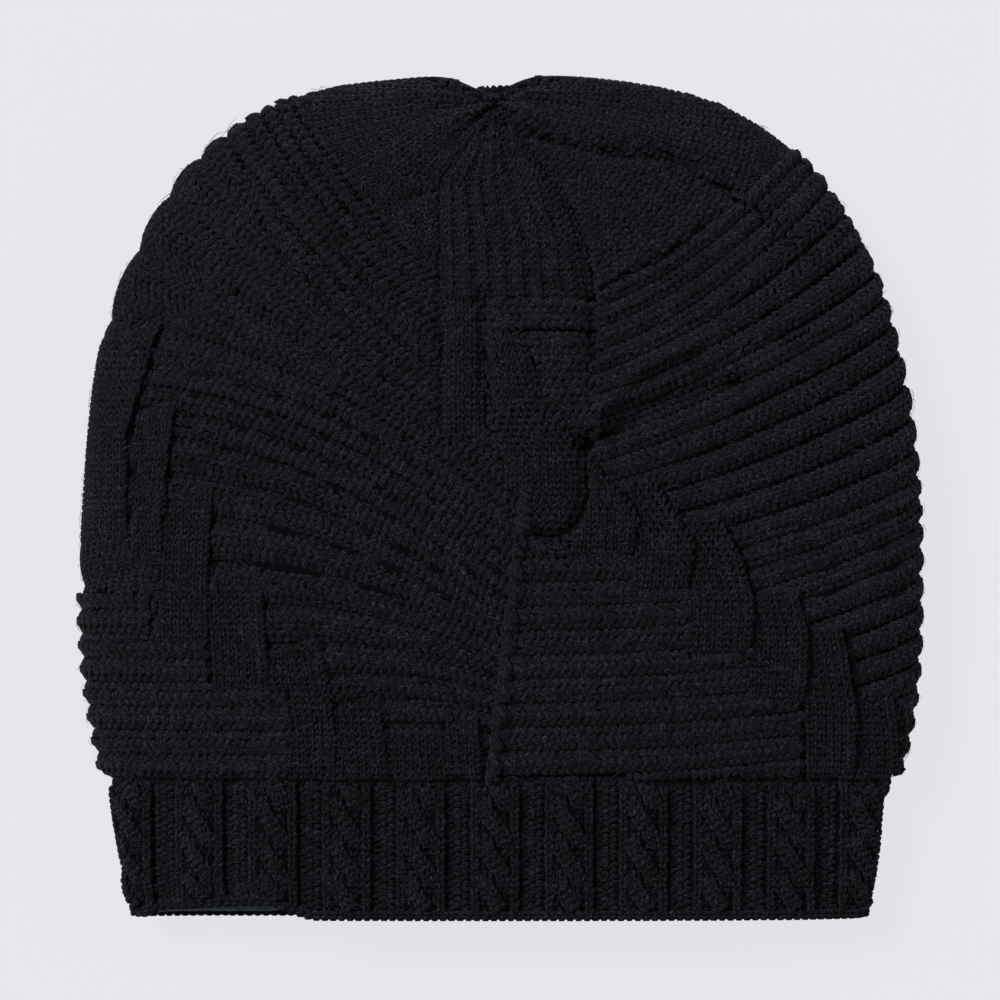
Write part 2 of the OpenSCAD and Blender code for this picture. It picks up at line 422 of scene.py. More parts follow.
def in_stair(s, a, y):
    return (a <= stair_edge(s, y)) & (y >= s[5]) & (y <= stair_top(s, a))


def in_leaf(s, a, y):
    return (a <= leaf_edge(s, y)) & (y >= s[1]) & (y <= s[2][-1][0])


def column_left(y):
    return np.interp(y, (217, 228, 238), (-17.4, -10, -3))


def column_right(y):
    return np.interp(y, (183, 200, 217, 228, 236), (27.3, 25, 18, 8, 2))


def tongue_left(y):
    """Left edge of the panel that bends down into the lobe."""
    return np.interp(y, (114, 119, 127, 140, 150, 174), (14, 8, 3, -0.6, -2.4, -4.7))


def tongue_right(y):
    return np.interp(y, (114, 119, 126, 138, 145, 151, 160, 171.4, 174), (16, 22, 24.8, 24.3, 19, 13.2, 10.5, 6.8, 6.5))


# the parts of the knitting
LEFT, RIGHT, LOW_LEFT, MIDDLE, CROWN, STAIR, LEAF, STRIP, TONGUE, PURL, TOP_PURL, RIBS, JOIN = range(13)


def kind_of(a, y):
    """Which part of the knitting a place belongs to; a later part lies over an earlier one."""
    a, y = np.broadcast_arrays(np.asarray(a, float), np.asarray(y, float))
    right_side = (a > join_x(y)) & (y < 128)
    low_left = (y < 97) & (a < -103) | (y < 82) & (a < -85) | (y < 67.6) & (a < -62)
    low_right = (y < 107) & (a < 40) | (y < 97) & (a < 56) | (y < 79) & (a < 74) | (y < 65) & (a < 90)
    column = (a >= -4.7) & (a <= 28)
    ribs = (a >= column_left(y)) & (a <= column_right(y)) & (y > 182) & ~((a < -4.7) & (y <= 183.6))
    layers = [
        (right_side & (a < 30) & (y >= 112), MIDDLE),
        ((start_of(left_line, a, y) > 190) & (a < STRIP_LEFT), CROWN),
        ((start_of(right_line, a, y) > FAN_START) & (a > 24), CROWN),
        ((a >= 8) & (a <= 27.3) & (y > 138), RIGHT),
        ((a >= STRIP_LEFT) & (a <= 27.3) & (y > 186), CROWN),
        (low_left, LOW_LEFT),
        (right_side & low_right, MIDDLE),
        *((~low_left & in_stair(s, a, y) & (a >= s[0]), STAIR) for s in LEFT_STAIRS),
        *((in_leaf(s, a, y) & (a >= s[0]), LEAF) for s in RIGHT_LEAVES),
        ((a >= STRIP_LEFT) & (a < -4.7) & (y > 143) & (y <= 183.6), STRIP),
        (column & (a <= 27) & (y > 139) & (y <= 174) & (a > tongue_left(y)), PURL),
        (column & (y > 174) & (y <= 182), TOP_PURL),
        ((a >= tongue_left(y)) & (a <= tongue_right(y)) & (y > 114) & (y <= 174), TONGUE),
        (ribs & (np.hypot(a - GATHER[0], y - GATHER[1]) > 14), RIBS),
    ]
    out = np.where(a < 14, LEFT, RIGHT)
    for inside, kind in layers:
        out = np.where(inside, kind, out)
    return out


def welt_wave(v, gap):
    """Rounded welts with sharp creases between them, 0 at a crease and 1 at a crest."""
    return np.abs(np.sin(PI * v / gap)) ** 0.6


def hollowed(h, past, rows, depth):
    """Lowers the knitting in the hollow just past a block's edge."""
    seen = (past > 0) & (past < RECESS) & rows
    return np.where(seen, h - depth * (1 - (past / RECESS).clip(0, 1)), h)


def relief(a, y):
    """Height of the knitting over the envelope, in mm."""
    a, y = np.broadcast_arrays(np.asarray(a, float), np.asarray(y, float))
    kind = kind_of(a, y)
    left, right = start_of(left_line, a, y), start_of(right_line, a, y) - FAN_START
    faded = 0.6 + 0.4 * np.cos((a + 62) / 34) ** 2
    fan = ease(1.7, 2.3, (right_line(right + FAN_START + 1, a)[0] - right_line(right + FAN_START - 1, a)[0]) / 2)
    heights = {
        LEFT: 3.2 * faded * welt_wave(left - 45, FAN_GAP) - 1.7,
        RIGHT: mix(3.2 * welt_wave(right, FAN_GAP), 0.7 + 1.7 * welt_wave(right, FAN_GAP / 2), fan) - 1.7,
        LOW_LEFT: 3.1 * welt_wave(y - 42, WELT_GAP) - 1.6,
        MIDDLE: 2.7 * welt_wave(y - BOW * a * a - 43, WELT_GAP) - 1.4,
        PURL: -0.6 + 0 * a,
        TOP_PURL: 0.9 + 0 * a,
    }
    h = np.select([kind == part for part in heights], list(heights.values()), 0.0)
    for s in LEFT_STAIRS:
        edge, top = stair_edge(s, y), stair_top(s, a)
        k = ((a - s[0]).clip(0) / (edge - s[0])) if s[0] > -150 else ((a + 128) / (edge + 128)).clip(0)
        window = ease(s[5], s[5] + 9, y) * (1 - 0.6 * ease(-7, 0, y - top))
        h = np.where((kind == STAIR) & (a >= s[0]) & in_stair(s, a, y), 0.2 + 1.2 * k**1.5 * window, h)
        h = hollowed(h, a - edge, (y > s[4]) & (y < s[1] + 2), 0.3)
        h = h - 0.4 * hump(y - top - 1.0, 1.4) * (a > s[0]) * (a < edge)
    for s in RIGHT_LEAVES:
        edge, top = leaf_edge(s, y), s[2][-1][0]
        k = ((a - s[0]) / np.maximum(edge - s[0], 1)).clip(0, 1)
        window = ease(s[1], s[1] + 9, y) * (1 - 0.4 * ease(top - 9, top, y))
        h = np.where((kind == LEAF) & (a >= s[0]) & in_leaf(s, a, y), 0.3 + 2.0 * k**1.3 * window, h)
        h = hollowed(h, a - edge, (y > s[1] + 3) & (y < top), 1.4)
    bulge = ease(STRIP_LEFT, -12, a) * (1 - ease(-8, 0, a - column_right(y)))
    bulge = bulge * ease(112, 122, y) * (1 - ease(205, 236, y)) * mix(ease(-2, 8, a), 1, ease(136, 158, y))
    h = h + 2.0 * bulge
    middle, reach = (tongue_left(y) + tongue_right(y)) / 2, (tongue_right(y) - tongue_left(y)) / 2
    h = h + 1.9 * np.sqrt((1 - ((a - middle) / reach) ** 2).clip(0)) * ease(113, 119, y) * (1 - ease(160, 175, y))
    rib = (a - column_left(y)) / np.maximum(column_right(y) - column_left(y), 3) * 8.5
    h = h + np.where(kind == RIBS, 2.1 * np.abs(np.sin(PI * rib)) ** 0.8 - 1.2, 0)
    for s in LEFT_STAIRS:
        rim = 0.6 * hump(a - stair_edge(s, y) + 1.2, 1.2)
        h = h + rim * ease(s[4] - 4, s[4] + 4, y) * (1 - ease(s[1] - 4, s[1] + 1, y))
    for s in RIGHT_LEAVES:
        rim = 1.1 * hump(a - leaf_edge(s, y) + 1.6, 1.6)
        h = h + rim * ease(s[1] - 2, s[1] + 6, y) * (1 - ease(s[2][-1][0] - 2, s[2][-1][0] + 3, y))
    rho = np.hypot(a - GATHER[0], y - GATHER[1])
    phi = np.arctan2(a - GATHER[0], GATHER[1] - y)
    pleats = np.cos(13 * phi + 0.9 * np.sin(3 * phi)) * np.exp(-rho / 26)
    pleats = pleats + 0.35 * np.cos(7 * phi + 1) * np.exp(-rho / 60)
    h = h + 1.35 * pleats * ease(160, 170, y)
    for points, depth, width in CREASES:
        h = h - depth * hump(near_line(points, a, y), width)
    for points, height, width in SWELLS:
        h = h + height * hump(near_line(points, a, y), width)
    slack = 0.35 * np.sin(a / 11 + 0.6 * np.sin(y / 17)) * np.sin(y / 13 + 0.5)
    h = h + 0.5 * np.sin(a / 31 + 1) * np.cos(y / 27) + slack
    fade = ease(BRIM_TOP - 0.5, BRIM_TOP + 2.0, y)
    return np.where(y < BRIM_TOP + 2.0, mix(brim_relief(a, y), h, fade), h)


# -- the brim's cables


PANEL_START = 12.5  # where a cable panel starts left of the middle
GUTTER = 2.2  # how far the purl gutters and the linking course lie below the envelope


def cable_share(a):
    """Distance from the middle of the nearest cable panel, in mm."""
    gap = mm("cable_gap")
    return np.mod(a + PANEL_START, gap) - gap / 2


def brim_relief(a, y):
    u = cable_share(a)
    gutter = 1 - ease(6.4, 7.9, np.abs(u))
    rope = np.sqrt((1 - (u / 5.2) ** 2).clip(0, 1))
    edge = hump(np.abs(u) - 5.9, 1.2)
    turn = welt_wave(y + 1.6 * u - 2, mm("cable_turn"))
    h = -GUTTER + gutter * (1.8 + 0.5 * edge) + rope * gutter * (0.3 + 1.7 * turn)
    link = hump(y - BRIM_TOP + 1.2, 1.5)
    h = h * (1 - 0.6 * link) - GUTTER * link
    return h * ease(-1, 5, y)


# -- stitches as points


KNIT, BUMPED, STRAND, HAIR = range(4)  # kinds of loop
ROW_GAP = 2.2  # gap of the purl bumps along a row
SLOPE_STEP = 0.7
RIM_GAP = 2.1
RIM_START = 203.0  # above this the rows that turn over the crown's rim are laid apart


class Stitches:
    """A growing list of stitches: place, turn, kind of loop, size."""

    def __init__(self):
        self.rows = []

    def add(self, a, y, turn, loop, wide=1.0, tall=1.0, out=0.0, part=0):
        self.rows.append(np.stack(np.broadcast_arrays(a, y, turn, loop, wide, tall, out, part), -1))

    def all(self):
        return np.concatenate(self.rows)


def walk(line, v, low, high, gap, phase):
    """Places at even steps along a course line, with its slope."""
    a = np.arange(low, high, 0.5)
    y, slope = line(v, a)
    run = np.concatenate([[0], np.cumsum(np.hypot(np.diff(a), np.diff(y)))])
    at = np.arange(phase * gap, run[-1], gap)
    where = np.interp(at, run, a)
    y, slope = line(v, where)
    return where, y, slope


def field(st, line, starts, low, high, part):
    """Rows of purl bumps along course lines, kept in their own part, with rows added where the lines fan out."""
    step = starts[1] - starts[0]
    for n, v in enumerate(starts):
        for share, least in ((0, 1), (0.5, 2), (0.25, 4), (0.75, 4)):
            odd = (n + (share > 0)) % 2
            a, y, slope = walk(line, v + share * step, low, high, mm("wale") * 1.04, odd * 0.5)
            ahead, behind = (
                np.abs(line(v + (share + k) * step, a)[0] - y) / np.hypot(1, slope) / abs(step) for k in (1, -1)
            )
            rows, past = (np.select([gone > 2.25, gone > 1.1], [4, 2], 1) for gone in (ahead, behind))
            keep = (kind_of(a, y) == part) & (rows >= least) & (y > 42.6) & (y < 247)
            tall = np.maximum(ahead / rows, behind / past) * abs(step) / ROW_GAP * 1.55
            turn = np.arctan(slope[keep]) + (0.5 if odd else -0.5)
            st.add(a[keep], y[keep], turn, BUMPED, 0.98, tall[keep].clip(1.0, 2.1), 0, part)


def body_stitches():
    """Every stitch of the body's one face."""
    wale, course = mm("wale"), mm("course")
    st = Stitches()
    row, level = FAN_GAP / 3, WELT_GAP / 3
    field(st, left_line, np.arange(-30, 250, row) + row / 2, -135, 16, LEFT)
    field(st, right_line, FAN_START - row / 2 - np.arange(0, 230, row), 7, 140, RIGHT)
    field(st, level_line, np.arange(42, 104, level) + level / 2, -140, -50, LOW_LEFT)
    field(st, bowed_line, np.arange(43 - 6 * level, 135, level) + level / 2, -6, 95, MIDDLE)
    field(st, level_line, np.arange(139, 176, level), 5, 29, PURL)
    field(st, level_line, 175.0 + np.arange(0, 5) * 2.0, -6, 29, TOP_PURL)
    for part, blocks, edge_of in ((STAIR, LEFT_STAIRS, stair_edge), (LEAF, RIGHT_LEAVES, leaf_edge)):
        for block in blocks:
            foot, top = (block[5], block[1]) if part == STAIR else (block[1], block[2][-1][0])
            y = np.arange(max(foot, 42.4) + 0.3, top + 1.3, course)
            nn, yy = np.meshgrid(np.arange(0, 26), y)
            aa = edge_of(block, yy) - (nn + 0.55) * wale
            keep = (kind_of(aa, np.maximum(yy - 1.4, foot + 0.2)) == part) & (aa >= block[0] - 0.3)
            st.add(aa[keep], yy[keep], 0, KNIT, part=part)
    for part, edge in ((STRIP, lambda v: -4.7 + 0 * v), (TONGUE, tongue_right)):
        n, yy = np.meshgrid(np.arange(0, 14), np.arange(113, 184, course))
        aa = edge(yy) - (n + 0.5) * wale
        keep = kind_of(aa, yy) == part
        lean = -np.arctan((edge(yy + 3) - edge(yy - 3)) / 6) * 0.8
        st.add(aa[keep], yy[keep], lean[keep], KNIT, part=part)
    share, yy = np.meshgrid((np.arange(17) + 0.5) / 17, np.arange(182.5, 240, course))
    aa = column_left(yy) + (column_right(yy) - column_left(yy)) * share
    wide = ((column_right(yy) - column_left(yy)) / 17 / wale).clip(0.55, 1.2)
    keep = kind_of(aa, yy) == RIBS
    st.add(aa[keep], yy[keep], 0, KNIT, wide[keep], part=RIBS)
    for rho in np.arange(2.6, 150, 1.95):
        count = 16 * 2 ** round(math.log2(max(2 * PI * rho / 2.6 / 16, 1)))
        phi = (np.arange(count) + 0.5) * 2 * PI / count - PI
        a = GATHER[0] + rho * np.sin(phi)
        y = GATHER[1] - rho * np.cos(phi)
        keep = (kind_of(a, y) == CROWN) & (y < 249.2) & (y > 160)
        st.add(a[keep], y[keep], phi[keep], KNIT, 2 * PI * rho / count / wale, 1.1, part=CROWN)
    y = np.arange(43, 128, 2.1)
    for side in (-0.55, 0.55):
        st.add(join_x(y) + 1.2 * side, y + side, PI / 2 + 0.12 + side * 0.7, BUMPED, 1.4, 1.15, 1.3, JOIN)
    return st.all()


def brim_stitches():
    """Every stitch of the brim's one face."""
    gap, turn = mm("cable_gap"), mm("cable_turn")
    st = Stitches()
    columns = [(u, 0.95, 0.15) for u in (-5.9, 5.9)] + [(u, 0.9, -1.2) for u in (-3.9, -1.95, 0.0, 1.95, 3.9)]
    y = np.arange(3.2, 41.6, 1.85)
    p = np.linspace(-1, 1, 9)
    lean = np.arctan2(3.1 * PI / 2 * np.cos(PI / 2 * p), 6.6)
    for middle in gap / 2 - PANEL_START + np.arange(-7, 8) * gap:
        for u, wide, out in columns:
            st.add(middle + u, y, 0, KNIT, wide, 1, out)
        for u in (-2.25, 0.0, 2.25):
            st.add(middle + gap / 2 + u, y + 0.9 * (u == 0), 0.3 if u else -0.3, BUMPED, 0.98, 1.05, -0.1)
        for m in range(-1, 5):
            for side in (-1.05, 1.05):
                u = 3.1 * np.sin(PI / 2 * p) + side * np.cos(lean)
                yy = 6 + m * turn - 6.6 * p + side * np.sin(lean)
                keep = (yy > 3.2) & (yy < 41.2)
                st.add(middle + u[keep], yy[keep], lean[keep], KNIT, 0.95, 1.0, (1.0 * (1 - p**2) - 0.25)[keep])
    return st.all()


def picked(pts, chosen):
    return {k: v[chosen] for k, v in pts.items()}


def laid(rows, back, seed, out=-0.25):
    """Turns stitches on the fabric into points in space with their directions and sizes."""
    skin = SKIN[0]
    a, y, turn, loop, wide, tall, lift, part = rows.T
    rng = np.random.default_rng(seed)
    turn = turn + rng.normal(0, 0.14, len(a))
    a, y = a + rng.normal(0, 0.10, len(a)), y + rng.normal(0, 0.08, len(a))
    out = out + lift
    at, inside = skin.point(a, y, back, out)
    da, dy = (
        (skin.point(a + i, y + j, back, out)[0] - skin.point(a - i, y - j, back, out)[0]) / (2 * SLOPE_STEP)
        for i, j in ((SLOPE_STEP, 0), (0, SLOPE_STEP))
    )
    plain = outward(*skin.place(a, y, back)[:2])
    steep = np.abs((da * plain).sum(1)) > np.where(loop == KNIT, 3.0, 6.0)
    for slope in (da, dy):
        rise = (slope * plain).sum(1)
        slope -= plain * (rise - rise.clip(-0.7, 0.7))[:, None]
    face = unit(unit(np.cross(da, dy) * (-1 if back else 1)) + 0.25 * plain)
    c, s = np.cos(turn)[:, None], np.sin(turn)[:, None]
    up, across = dy * c - da * s, da * c + dy * s
    grow_x, grow_y = (np.linalg.norm(v, axis=1).clip(0.85, 1.9) for v in (across, up))
    vary = rng.normal(1, 0.06, len(a)).clip(0.8, 1.2)
    thick = np.where(loop == BUMPED, 0.62, 0.5 + 0.5 * wide)
    size = np.stack([wide * grow_x * vary, tall * grow_y * vary, thick], 1)
    rim = (y > RIM_START) & (np.abs(plain[:, 2]) < 0.3)
    good = inside & ~steep & ~rim & np.isfinite(at).all(1) & (np.linalg.norm(up, axis=1) > 1e-6)
    tint = rng.uniform(0, 1, len(a))
    return picked(dict(at=at, face=face, up=up, size=size, loop=loop, tint=tint, part=part, y=y), good)


def spaced(w, gap, inset=0.0):
    """Places round the ring at w, an even gap apart."""
    tau = np.linspace(0, 2 * PI, 2881)
    run = run_along(ring(np.full(len(tau), float(w)), tau, inset)[0])
    count = int(round(run[-1] / gap))
    return np.interp((np.arange(count) + 0.5) * run[-1] / count, run, tau), run[-1] / count


def on_ring(w, tau, turn=0.0, loop=BUMPED, wide=1.0, tall=1.0, thick=0.7, out=0.0, inset=None, inward=False, seed=5):
    """Laid stitches given by their place on the envelope, or on a layer inside it."""
    skin, layer = SKIN[0], inset or 0
    given = (w, tau, turn, loop, wide, tall, thick, out)
    w, tau, turn, loop, wide, tall, thick, out = np.broadcast_arrays(*[np.asarray(v, float) for v in given])
    y = slice_rule(w)["y"]
    along = unit(ring(w + 0.5, tau, layer)[0] - ring(w - 0.5, tau, layer)[0])
    round_ = unit(ring(w, tau - 0.008, layer)[0] - ring(w, tau + 0.008, layer)[0])
    face = unit(np.cross(round_, along))
    if inward:
        face = -face
    at = skin.raised(w, tau, skin.a_of(w, tau), y, 0.0 * w - 0.3) if inset is None else ring(w, tau, inset)[0]
    up = along * np.cos(turn)[:, None] - round_ * np.sin(turn)[:, None]
    rng = np.random.default_rng(seed)
    vary = rng.normal(1, 0.05, len(w)).clip(0.85, 1.15)
    return {
        "at": at + face * out[:, None], "face": face, "up": up, "y": y, "loop": loop,
        "size": np.stack([wide * vary, tall * vary, thick], 1), "tint": rng.uniform(0, 1, len(w)),
    }


def together(*lots):
    return {k: np.concatenate([lot[k] for lot in lots]) for k in lots[0]}


# -- node trees


def put(tree, kind, **given):
    """Adds a node and sets or links its inputs by name."""
    n = tree.nodes.new(kind)
    for key in [k for k in given if k.startswith("_")]:
        setattr(n, key[1:], given.pop(key))
    for key, value in given.items():
        name = key.replace("_", " ")
        socket = next(i for i in n.inputs if i.enabled and i.name.lower() == name.lower() and not i.is_linked)
        if isinstance(value, bpy.types.NodeSocket):
            tree.links.new(value, socket)
        else:
            socket.default_value = value
    return n


def maths(tree, operation, *values, clamp=False):
    """Adds a math node and returns its result."""
    n = put(tree, "ShaderNodeMath", _operation=operation, _use_clamp=clamp)
    for socket, value in zip(n.inputs, values):
        if isinstance(value, bpy.types.NodeSocket):
            tree.links.new(value, socket)
        else:
            socket.default_value = value
    return n.outputs[0]


def sock(n, name):
    return next(o for o in n.outputs if o.enabled and o.name == name)


def named(tree, name, kind):
    return sock(put(tree, "GeometryNodeInputNamedAttribute", _data_type=kind, Name=name), "Attribute")


def yarn_bit(tree, points, radius, sides, thin):
    """A short bent piece of yarn, thinner at its ends."""
    start, middle, end = (tuple(v * MM for v in p) for p in points)
    curve = put(tree, "GeometryNodeCurveQuadraticBezier", Resolution=3, Start=start, Middle=middle, End=end)
    factor = sock(put(tree, "GeometryNodeSplineParameter"), "Factor")
    centred = maths(tree, "SUBTRACT", factor, 0.5)
    taper = maths(tree, "MULTIPLY_ADD", maths(tree, "MULTIPLY", centred, centred), -4 * thin, 1.0)
    profile = put(tree, "GeometryNodeCurvePrimitiveCircle", Resolution=sides, Radius=radius)
    mesh = put(
        tree, "GeometryNodeCurveToMesh", Curve=sock(curve, "Curve"), Profile_Curve=sock(profile, "Curve"),
        Scale=taper, Fill_Caps=True,
    )
    return sock(mesh, "Mesh")


# loops of yarn as start, middle and end, in mm on their own stitch
LEG = ((0.14, -1.12, -0.75), (0.72, -0.25, 1.10), (0.98, 1.02, -0.75))
BUMP = ((-1.24, -0.44, -0.90), (0.0, 0.60, 1.50), (1.24, -0.44, -0.90))
FIBRE = ((-1.5, -0.3, -0.30), (0.1, 0.7, 0.80), (1.5, -0.5, 0.35))
THREAD = ((-1.2, 0.0, -0.35), (0.0, 0.0, 0.75), (1.2, 0.0, -0.35))


def stitch_tree():
    """One loop of yarn on every point: two legs for a knit stitch, an arch for a purl bump, a strand or a hair."""
    tree = bpy.data.node_groups.new("Stitches", "GeometryNodeTree")
    for title, way, kind in (
        ("Geometry", "INPUT", "Geometry"), ("Yarn radius", "INPUT", "Float"), ("Yarn", "INPUT", "Material"),
        ("Geometry", "OUTPUT", "Geometry"),
    ):
        tree.interface.new_socket(title, in_out=way, socket_type="NodeSocket" + kind)
    given = tree.nodes.new("NodeGroupInput")
    radius = sock(given, "Yarn radius")
    knit = put(tree, "GeometryNodeJoinGeometry")
    for side in (1, -1):
        tree.links.new(yarn_bit(tree, [(side * x, y, z) for x, y, z in LEG], radius, 5, 0.42), knit.inputs[0])
    purl = yarn_bit(tree, BUMP, maths(tree, "MULTIPLY", radius, 1.2), 5, 0.40)
    thread = yarn_bit(tree, THREAD, radius, 6, 0.30)
    fibre = yarn_bit(tree, FIBRE, radius, 3, 0.55)
    turn = put(
        tree, "FunctionNodeAxesToRotation", _primary_axis="Z", _secondary_axis="Y",
        Primary_Axis=named(tree, "face", "FLOAT_VECTOR"), Secondary_Axis=named(tree, "up", "FLOAT_VECTOR"),
    )
    joined = put(tree, "GeometryNodeJoinGeometry")
    for index, loop in enumerate((sock(knit, "Geometry"), purl, thread, fibre)):
        chosen = put(tree, "FunctionNodeCompare", _data_type="INT", _operation="EQUAL")
        tree.links.new(named(tree, "loop", "INT"), next(i for i in chosen.inputs if i.enabled and i.name == "A"))
        next(i for i in chosen.inputs if i.enabled and i.name == "B").default_value = index
        laid_out = put(
            tree, "GeometryNodeInstanceOnPoints", Points=sock(given, "Geometry"), Selection=chosen.outputs[0],
            Instance=loop, Rotation=sock(turn, "Rotation"), Scale=named(tree, "size", "FLOAT_VECTOR"),
        )
        tree.links.new(sock(laid_out, "Instances"), joined.inputs[0])
    real = put(tree, "GeometryNodeRealizeInstances", Geometry=sock(joined, "Geometry"))
    smooth = put(tree, "GeometryNodeSetShadeSmooth", Geometry=sock(real, "Geometry"))
    dressed = put(tree, "GeometryNodeSetMaterial", Geometry=sock(smooth, "Geometry"), Material=sock(given, "Yarn"))
    out = tree.nodes.new("NodeGroupOutput")
    tree.links.new(sock(dressed, "Geometry"), out.inputs[0])
    return tree


def socket_id(tree, name):
    return next(i.identifier for i in tree.interface.items_tree if i.name == name and i.in_out == "INPUT")


def to_metres(points):
    return (np.asarray(points, float) + np.array([0, HEM_Y, 0])) * MM


def as_piece(name, mesh):
    """Makes an object of a finished mesh and enters it in the frame."""
    ob = bpy.data.objects.new(name, mesh)
    bpy.context.scene.collection.objects.link(ob)
    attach(ob, "root")
    return ob


def knit_piece(name, pts, stuff, radius=None):
    """Makes one piece of stitches from laid points."""
    tree, yarn = SHOP["tree"], SHOP[stuff]
    mesh = bpy.data.meshes.new(name + "_points")
    mesh.vertices.add(len(pts["at"]))
    mesh.vertices.foreach_set("co", to_metres(pts["at"]).astype(np.float32).ravel())
    for key, kind, what, store in (
        ("face", "FLOAT_VECTOR", "vector", np.float32), ("up", "FLOAT_VECTOR", "vector", np.float32),
        ("size", "FLOAT_VECTOR", "vector", np.float32), ("loop", "INT", "value", np.int32),
        ("tint", "FLOAT", "value", np.float32),
    ):
        mesh.attributes.new(key, kind, "POINT").data.foreach_set(what, pts[key].astype(store).ravel())
    seed_ob = bpy.data.objects.new(name + "_points", mesh)
    bpy.context.scene.collection.objects.link(seed_ob)
    mod = seed_ob.modifiers.new("Stitches", "NODES")
    mod.node_group = tree
    mod[socket_id(tree, "Yarn radius")] = radius or sizes().yarn
    mod[socket_id(tree, "Yarn")] = yarn
    made = bpy.data.meshes.new_from_object(seed_ob.evaluated_get(bpy.context.evaluated_depsgraph_get()))
    bpy.data.objects.remove(seed_ob)
    made.name = name
    spots = np.empty(len(made.vertices) * 3, np.float32)
    made.vertices.foreach_get("co", spots)
    spots[2::3] = np.maximum(spots[2::3], 0.0)  # nothing reaches under the table
    made.vertices.foreach_set("co", spots)
    for key in ("face", "up", "size", "loop"):
        if key in made.attributes:
            made.attributes.remove(made.attributes[key])
    if not made.materials:
        made.materials.append(yarn)
    return as_piece(name, made)


PIECE_TRIS = 185000  # most triangles in one piece of stitches
KNIT_TRIS, BUMP_TRIS = 72, 40


def in_lots(pts):
    """Splits laid points into lots small enough for one piece each, from the hem upwards."""
    order = np.argsort(pts["y"], kind="stable")
    lot = np.cumsum(np.where(pts["loop"][order] == KNIT, KNIT_TRIS, BUMP_TRIS)) // PIECE_TRIS
    return [picked(pts, order[lot == n]) for n in range(lot.max() + 1)]


# -- meshes


def new_piece(name, verts, faces, stuff):
    """Makes a closed smooth piece from points in mm, with its faces turned outwards."""
    mesh = bpy.data.meshes.new(name)
    mesh.from_pydata([tuple(v) for v in to_metres(verts)], [], [tuple(f) for f in faces])
    mesh.materials.append(SHOP[stuff])
    mesh.polygons.foreach_set("use_smooth", [True] * len(mesh.polygons))
    mesh.update()
    bm = bmesh.new()
    bm.from_mesh(mesh)
    bmesh.ops.recalc_face_normals(bm, faces=bm.faces)
    bm.to_mesh(mesh)
    bm.free()
    return as_piece(name, mesh)


def stacked(rows, cols):
    """Faces of rings stacked into an open tube."""
    return [
        (i * cols + j, i * cols + (j + 1) % cols, (i + 1) * cols + (j + 1) % cols, (i + 1) * cols + j)
        for i in range(rows - 1) for j in range(cols)
    ]


def loop_grid(rings):
    """Faces of rings that each close on themselves and are joined into a torus, from points rings[i][j]."""
    rows, cols = rings.shape[:2]
    i, j = np.meshgrid(np.arange(rows), np.arange(cols), indexing="ij")
    n, m = (i + 1) % rows, (j + 1) % cols
    return np.stack([i * cols + j, i * cols + m, n * cols + m, n * cols + j], -1).reshape(-1, 4)


def ring_piece(name, rings, stuff):
    """A closed band or tube of rings."""
    rings = np.array(rings)
    return new_piece(name, rings.reshape(-1, 3), loop_grid(rings), stuff)


def tube_shell(name, w_out, cols, w_in, sink):
    """A tube of ground fabric: a worked outer face, a plain inner face, closed at both ends. Its material is the yarn
    made darker, as painted shade in the gaps between stitches.
    """
    skin = SKIN[0]
    share = np.linspace(1, -1, cols // 2, endpoint=False)
    rings = []
    for ws, worked in ((w_out, True), (w_in, False)):
        for w in ws:
            w = np.full(cols, float(w))
            half = w[: cols // 2]
            faces = [skin.turn(skin.from_s, half, -share if back else share, back) for back in (False, True)]
            tau = np.concatenate(faces)
            if worked:
                rings.append(skin.raised(w, tau, skin.a_of(w, tau), slice_rule(w)["y"], np.full(cols, -sink)))
            else:
                rings.append(ring(w, tau, mm("wall"))[0])
    return ring_piece(name, rings, "ground")


# -- materials


def new_material(name):
    """A fresh material with its tree, its shader and the object's own coordinates."""
    mat = bpy.data.materials.new(name)
    mat.use_nodes = True
    t = mat.node_tree
    return mat, t, t.nodes["Principled BSDF"], t.nodes.new("ShaderNodeTexCoord").outputs["Object"]


def constants(node, **given):
    for key, value in given.items():
        node.inputs[key.replace("_", " ")].default_value = value


def between(t, value, low, high, start=0.0, end=1.0):
    """Maps start..end onto low..high."""
    return put(t, "ShaderNodeMapRange", Value=value, From_Min=start, From_Max=end, To_Min=low, To_Max=high).outputs[0]


def ramp(t, value, dark, light, start=0.0, end=1.0):
    n = put(t, "ShaderNodeValToRGB", Fac=value)
    for stop, place, shade in zip(n.color_ramp.elements, (start, end), (dark, light)):
        stop.position, stop.color = place, (*shade, 1)
    return n.outputs[0]


def bump(t, shader, strength, distance, height):
    n = put(t, "ShaderNodeBump", Strength=strength, Distance=distance, Height=height)
    t.links.new(n.outputs[0], shader.inputs["Normal"])


